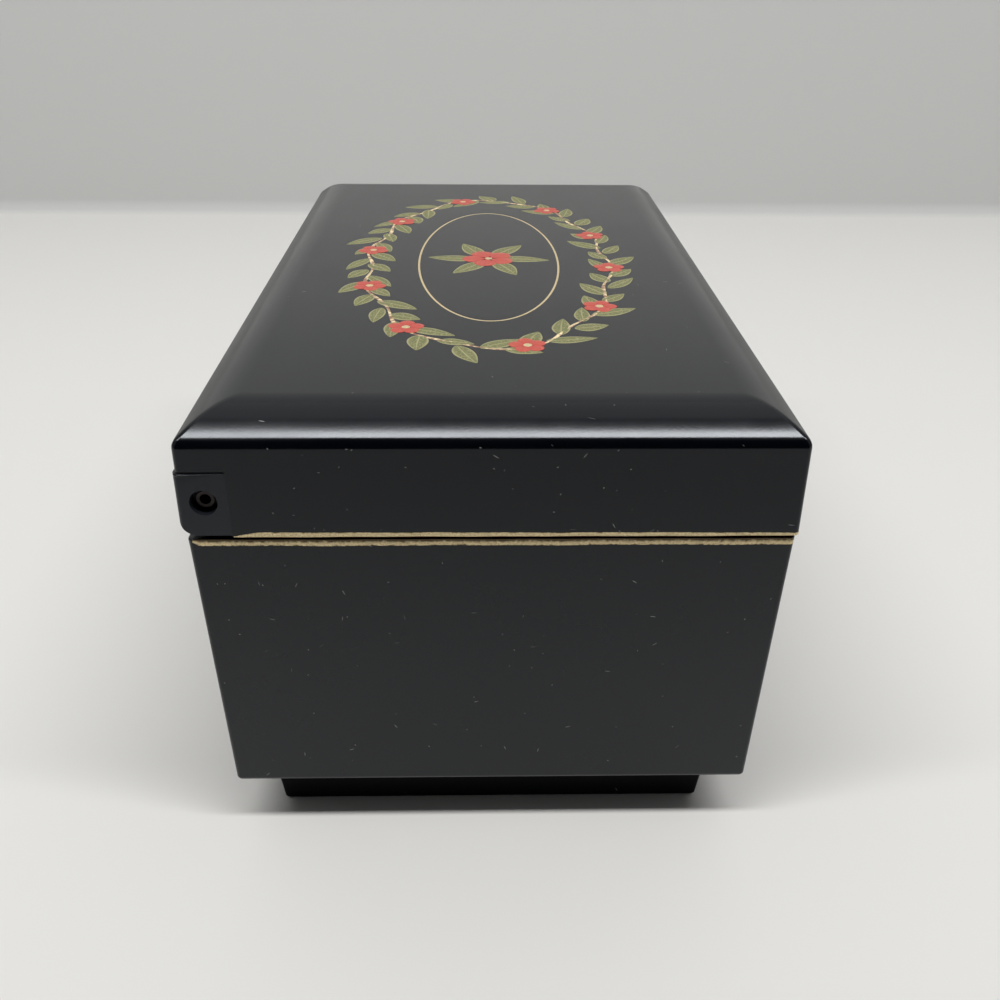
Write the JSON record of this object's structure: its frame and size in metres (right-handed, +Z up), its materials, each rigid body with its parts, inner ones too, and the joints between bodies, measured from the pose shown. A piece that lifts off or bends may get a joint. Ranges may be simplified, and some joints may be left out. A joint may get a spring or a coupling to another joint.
{
  "type": "musical jewelry box",
  "caption": "Rectangular moulded jewelry box on a recessed plinth, with a bevelled lid on corner pin hinges, red lined compartments, a mirror and a wound cylinder music movement.",
  "frame": {"origin": "under the middle of the plinth, on the table", "axes": "+X along the long side, -Y the front, +Y the hinge side, +Z up"},
  "size_m": [0.177, 0.1034, 0.0909],
  "materials": {
    "black_plastic": "black moulded plastic with a worn satin gloss and worn gold lines on the rims",
    "plinth_plastic": "matte black plastic",
    "velvet": "dark red flocked velvet on card",
    "steel": "bright steel",
    "zinc": "bare die-cast zinc",
    "brass": "turned and stamped brass",
    "white_nylon": "natural white nylon",
    "clear_cover": "clear acrylic",
    "mirror": "silvered glass"
  },
  "bodies": {
    "case": {"box_body": "black_plastic", "base_plinth": "plinth_plastic", "plinth_screws": "steel", "hinge_pin_left": "steel", "hinge_pin_right": "steel", "lining_front": "velvet", "lining_back": "velvet", "lining_left": "velvet", "lining_right": "velvet", "floor_pad": "velvet", "end_partition": "velvet", "cross_divider": "velvet", "deck_cleats": "plinth_plastic", "ring_deck": "velvet", "ring_roll_1": "velvet", "ring_roll_2": "velvet", "ring_roll_3": "velvet", "ring_roll_4": "velvet", "movement_window": "clear_cover", "movement_bedplate": "zinc", "movement_screws": "steel", "spring_can": "steel", "mainspring": "steel", "comb": "steel", "comb_screws": "brass", "governor_bracket": "zinc", "rod_guide_lower": "brass", "rod_guide_upper": "brass", "rod_spring": "steel"},
    "lid": {"lid_shell": "black_plastic", "hinge_block_left": "black_plastic", "hinge_block_right": "black_plastic", "lid_lining": "velvet", "mirror_glass": "mirror", "mirror_frame": "brass"},
    "winder": {"winding_arbor": "steel", "great_wheel": "brass", "winding_key": "brass"},
    "cylinder": {"tune_cylinder": "brass", "cylinder_arbor": "steel", "cylinder_pinion": "brass", "cylinder_wheel": "brass"},
    "governor": {"governor_arbor": "steel", "governor_pinion": "brass", "worm_wheel": "white_nylon"},
    "fly": {"worm_shaft": "steel", "fly_vane": "white_nylon"},
    "stop": {"stop_rod": "steel"}
  },
  "joints": [
    {"name": "lid_hinge", "type": "hinge", "parent": "case", "child": "lid", "pos_m": [0, 0.04732, 0.07555], "axis": [-1, 0, 0], "range_deg": [0, 110]},
    {"name": "stop_slide", "type": "slide", "parent": "case", "child": "stop", "axis": [0, 0, 1], "range_m": [0, 0.004], "deforming": ["rod_spring"]},
    {"name": "cylinder_turn", "type": "hinge", "parent": "case", "child": "cylinder", "pos_m": [0.03963, 0.02453, 0.0281], "axis": [1, 0, 0], "continuous": true},
    {"name": "key_turn", "type": "hinge", "parent": "case", "child": "winder", "pos_m": [0.03963, 0.02453, 0.0195], "axis": [0, 0, 1], "continuous": true},
    {"name": "governor_turn", "type": "hinge", "parent": "case", "child": "governor", "pos_m": [0.03963, 0.03353, 0.0281], "axis": [1, 0, 0], "continuous": true},
    {"name": "fly_turn", "type": "hinge", "parent": "case", "child": "fly", "pos_m": [0.07681, 0.03833, 0.0281], "axis": [0, 0, 1], "continuous": true}
  ],
  "couplings": [
    {"joint": "stop_slide", "follows": "lid_hinge", "m_per_rad": 0.00208},
    {"joint": "key_turn", "follows": "cylinder_turn", "ratio": -0.25},
    {"joint": "governor_turn", "follows": "cylinder_turn", "ratio": -4},
    {"joint": "fly_turn", "follows": "cylinder_turn", "ratio": 72}
  ]
}
